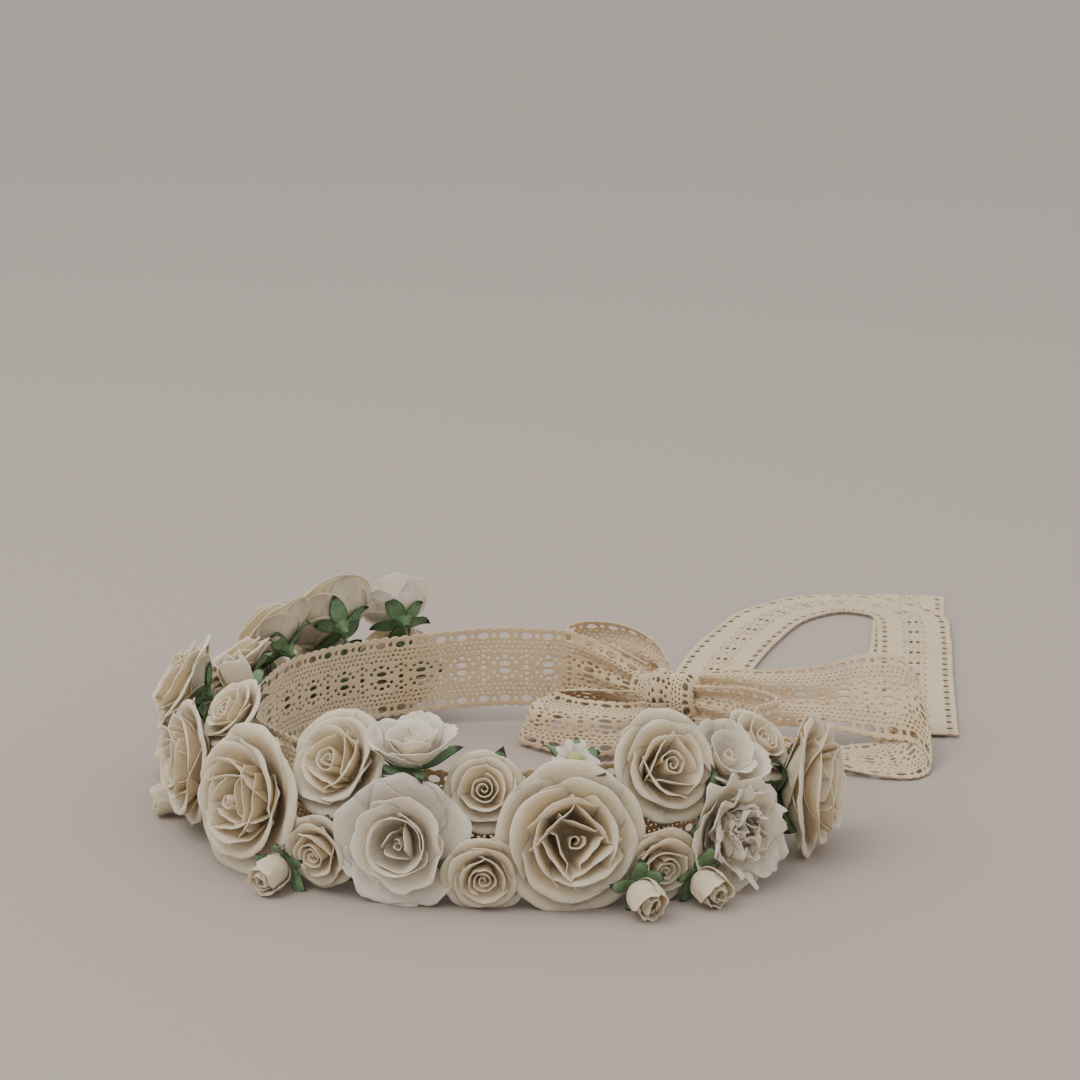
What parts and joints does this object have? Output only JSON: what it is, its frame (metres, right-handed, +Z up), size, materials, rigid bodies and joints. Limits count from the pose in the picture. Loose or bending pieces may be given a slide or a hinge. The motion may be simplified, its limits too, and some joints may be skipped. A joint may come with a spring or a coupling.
{
  "type": "flower crown",
  "caption": "Wreath of cream and white paper roses wired round a hoop, lined with a cotton lace ribbon tied in a bow with two tails.",
  "frame": {"origin": "centre of the whole footprint, on the table", "axes": "+Z up; -Y the front of the garland; +Y towards the far end of the ribbon tails; +X towards the bow's big loop"},
  "size_m": [0.3274, 0.4237, 0.0613],
  "materials": {
    "lace": "open-work crocheted cotton, matte, ecru",
    "cream_paper": "matte mulberry paper, crumpled, cream",
    "white_paper": "matte mulberry paper, crumpled, off-white",
    "green_paper": "matte dyed paper sepals with near-black edges",
    "stem_tape": "crepe florist's tape, slightly waxy",
    "hoop_wire": "green lacquered steel wire"
  },
  "bodies": {
    "crown": {"core_wire": "hoop_wire", "stem_tape": "stem_tape", "flower_stems": "stem_tape", "lace_band": "lace", "left_tie": "lace", "right_tie": "lace", "bow_knot": "lace", "large_calyxes": "green_paper", "ruffled_calyx": "green_paper", "crumpled_calyx": "green_paper", "rose_calyxes": "green_paper", "small_calyxes": "green_paper", "open_calyxes": "green_paper", "bud_calyxes": "green_paper", "daisy_calyx": "green_paper", "large_rose_1": "cream_paper", "large_rose_2": "cream_paper", "large_rose_3": "cream_paper", "large_rose_4": "cream_paper", "ruffled_rose_1": "white_paper", "crumpled_rose_1": "white_paper", "rose_1": "cream_paper", "rose_2": "cream_paper", "rose_3": "cream_paper", "rose_4": "cream_paper", "rose_5": "cream_paper", "rose_6": "cream_paper", "rose_7": "cream_paper", "rose_8": "cream_paper", "rose_9": "cream_paper", "rose_10": "cream_paper", "small_rose_1": "cream_paper", "small_rose_2": "cream_paper", "small_rose_3": "cream_paper", "small_rose_4": "cream_paper", "small_rose_5": "cream_paper", "small_rose_6": "cream_paper", "small_rose_7": "cream_paper", "open_flower_1": "white_paper", "open_flower_2": "white_paper", "open_flower_3": "white_paper", "rosebud_1": "cream_paper", "rosebud_2": "cream_paper", "rosebud_3": "cream_paper", "rosebud_4": "cream_paper", "rosebud_5": "cream_paper", "rosebud_6": "cream_paper", "daisy_1": "white_paper"},
    "tails": {"long_tail": "lace", "short_tail": "lace"},
    "left_loop": {"left_loop": "lace"},
    "back_loop": {"back_loop": "lace"},
    "right_loop": {"right_loop": "lace"}
  },
  "joints": [
    {"name": "tails_lift", "type": "hinge", "parent": "crown", "child": "tails", "pos_m": [0.0398, -0.0043, 0.001], "axis": [0.9781, -0.208, 0], "range_deg": [0, 60]},
    {"name": "left_loop_lift", "type": "hinge", "parent": "crown", "child": "left_loop", "pos_m": [0.0178, -0.0193, 0.026], "axis": [-0.2402, 0.9707, 0], "range_deg": [0, 15]},
    {"name": "back_loop_lift", "type": "hinge", "parent": "crown", "child": "back_loop", "pos_m": [0.0238, -0.0033, 0.026], "axis": [0.5291, 0.8486, 0], "range_deg": [0, 15]},
    {"name": "right_loop_lift", "type": "hinge", "parent": "crown", "child": "right_loop", "pos_m": [0.0378, -0.0183, 0.024], "axis": [-0.3312, -0.9435, 0], "range_deg": [0, 25]}
  ]
}
